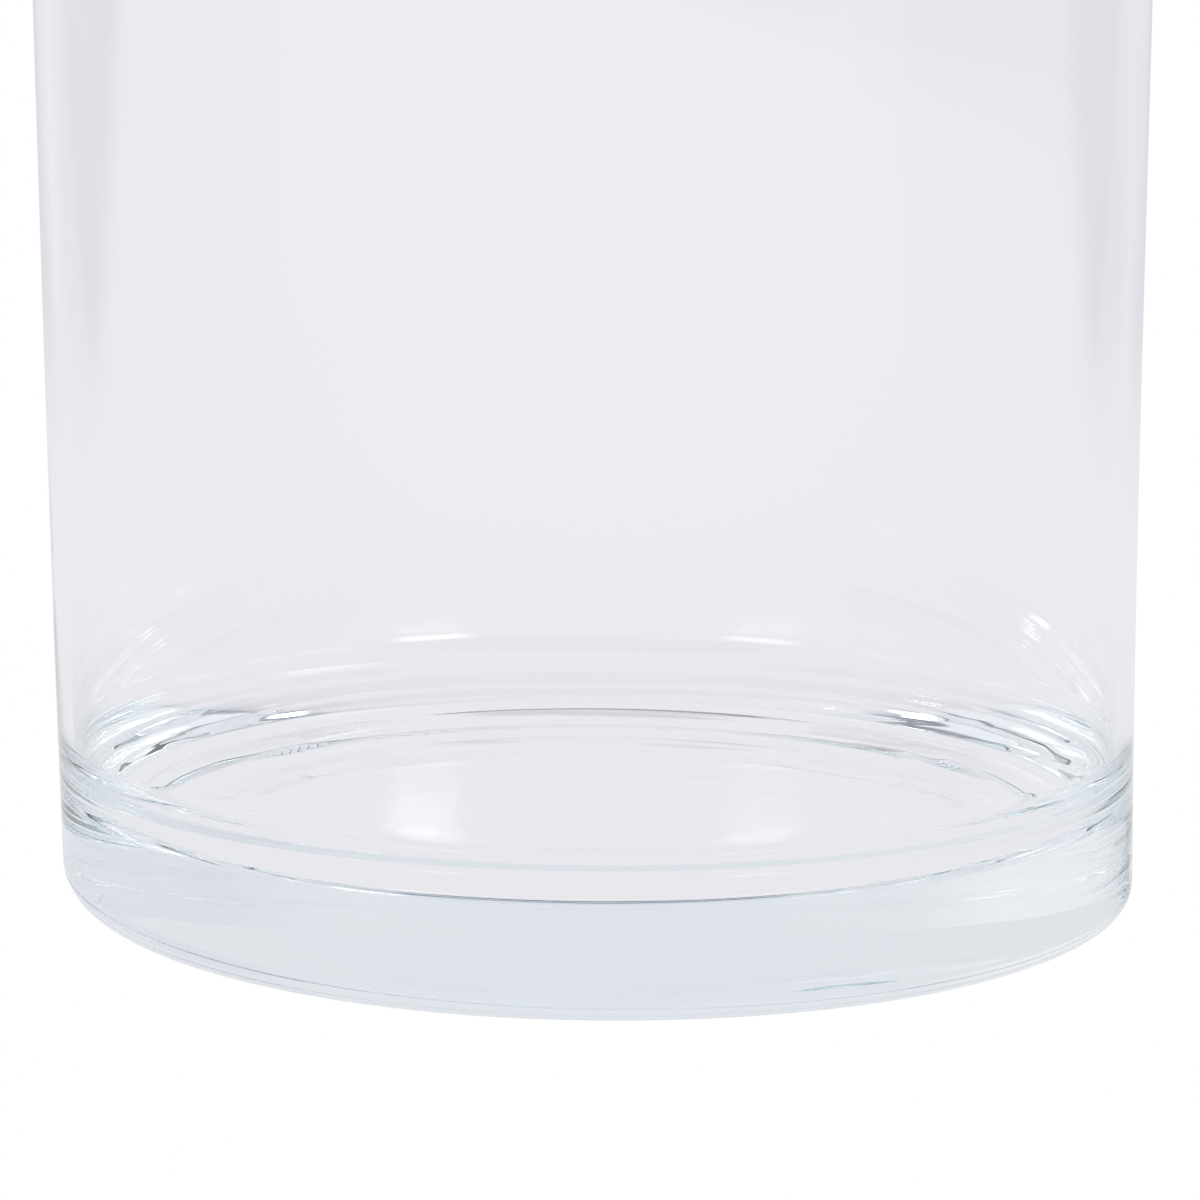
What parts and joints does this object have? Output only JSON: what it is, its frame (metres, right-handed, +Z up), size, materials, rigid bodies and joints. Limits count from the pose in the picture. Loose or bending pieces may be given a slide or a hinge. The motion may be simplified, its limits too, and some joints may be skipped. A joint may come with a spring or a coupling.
{
  "type": "cylinder vase",
  "caption": "Clear glass cylinder vase: a straight round wall with a fire-polished rim on a thick solid base.",
  "frame": {"origin": "centre of the foot ring, on the surface that the vase stands on", "axes": "+Z up along the vase's axis, out of the mouth; the vase is round, so +X and +Y are free, and +Y points away from a viewer in front"},
  "size_m": [0.15, 0.15, 0.3],
  "materials": {
    "clear_glass": "polished"
  },
  "bodies": {
    "root": {"vase_body": "clear_glass"}
  },
  "joints": []
}
